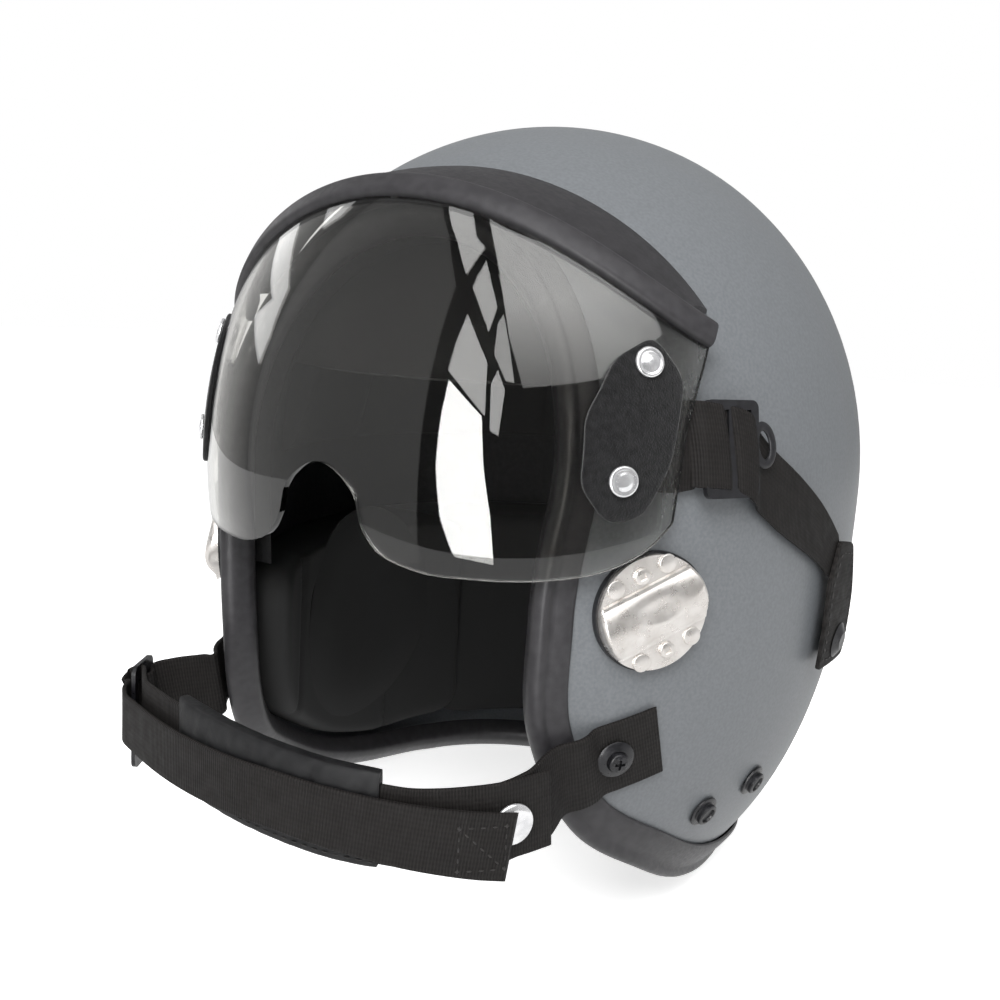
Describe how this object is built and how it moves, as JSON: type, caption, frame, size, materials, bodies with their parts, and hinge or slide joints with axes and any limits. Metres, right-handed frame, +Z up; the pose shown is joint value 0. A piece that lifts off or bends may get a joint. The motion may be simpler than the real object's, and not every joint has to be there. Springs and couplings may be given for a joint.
{
  "type": "pilot flight helmet",
  "caption": "Open-face pilot flight helmet with a grey shell, rubber edge trim, a clear lift-up visor, mask receivers on the cheeks and a webbing chin strap.",
  "frame": {"origin": "on the surface the helmet stands on, under the middle of the shell", "axes": "+Z up, the face looks along -Y, +X is the wearer's left; the shell's widest station is at +Y"},
  "size_m": [0.2534, 0.2999, 0.2853],
  "materials": {
    "shell_paint": "moulded composite shell with satin grey paint",
    "trim_rubber": "satin black moulded rubber",
    "liner_foam": "black energy absorbing foam",
    "ribbed_knit": "black ribbed knit over soft foam",
    "black_plastic": "black moulded nylon",
    "nickel": "polished nickel plate with hand marks",
    "lens_plastic": "clear moulded polycarbonate lens",
    "pile_fabric": "black pile fastener",
    "snap_chrome": "bright chromed snap",
    "webbing": "black woven webbing",
    "sleeve_leather": "black soft leather",
    "black_steel": "black coated steel"
  },
  "bodies": {
    "root": {"brow_pad": "ribbed_knit", "chin_screws": "black_steel", "chin_tab_left": "webbing", "chin_tab_right": "webbing", "crown_pad": "ribbed_knit", "cup_washers": "black_steel", "ear_cup_left": "black_plastic", "ear_cup_right": "black_plastic", "ear_pad_left": "ribbed_knit", "ear_pad_right": "ribbed_knit", "ear_seal_left": "ribbed_knit", "ear_seal_right": "ribbed_knit", "edge_trim": "trim_rubber", "energy_liner": "liner_foam", "keeper_snaps": "black_steel", "nape_pad": "ribbed_knit", "nape_studs": "black_steel", "outer_shell": "shell_paint", "receiver_cover_left": "nickel", "receiver_cover_right": "nickel", "receiver_nuts": "nickel", "receiver_plate_left": "nickel", "receiver_plate_right": "nickel", "receiver_rivets": "nickel", "receiver_screws": "nickel", "receiver_shim_left": "black_plastic", "receiver_shim_right": "black_plastic", "strap_keeper_left": "webbing", "strap_keeper_right": "webbing", "tee_nuts": "black_steel", "visor_strap_left": "webbing", "visor_strap_right": "webbing"},
    "visor": {"brow_bead": "trim_rubber", "brow_lip": "trim_rubber", "side_patch_left": "pile_fabric", "side_patch_right": "pile_fabric", "visor_buckle_left": "black_plastic", "visor_buckle_right": "black_plastic", "visor_lens": "lens_plastic", "visor_snap_caps": "snap_chrome", "visor_snap_sockets": "snap_chrome", "visor_tab_left": "webbing", "visor_tab_right": "webbing"},
    "chin_strap": {"chin_sleeve": "sleeve_leather", "chin_snap": "snap_chrome", "chin_strap": "webbing", "ladder_buckle": "black_steel"}
  },
  "joints": [
    {"name": "visor_lift", "type": "hinge", "parent": "root", "child": "visor", "pos_m": [0, 0.008, 0.1575], "axis": [-1, 0, 0], "range_deg": [0, 40], "deforming": ["visor_strap_left", "visor_strap_right"]},
    {"name": "chin_swing", "type": "hinge", "parent": "root", "child": "chin_strap", "pos_m": [0, -0.105, 0.076], "axis": [-1, 0, 0], "range_deg": [-35, 40], "deforming": ["chin_tab_left", "chin_tab_right"]}
  ]
}
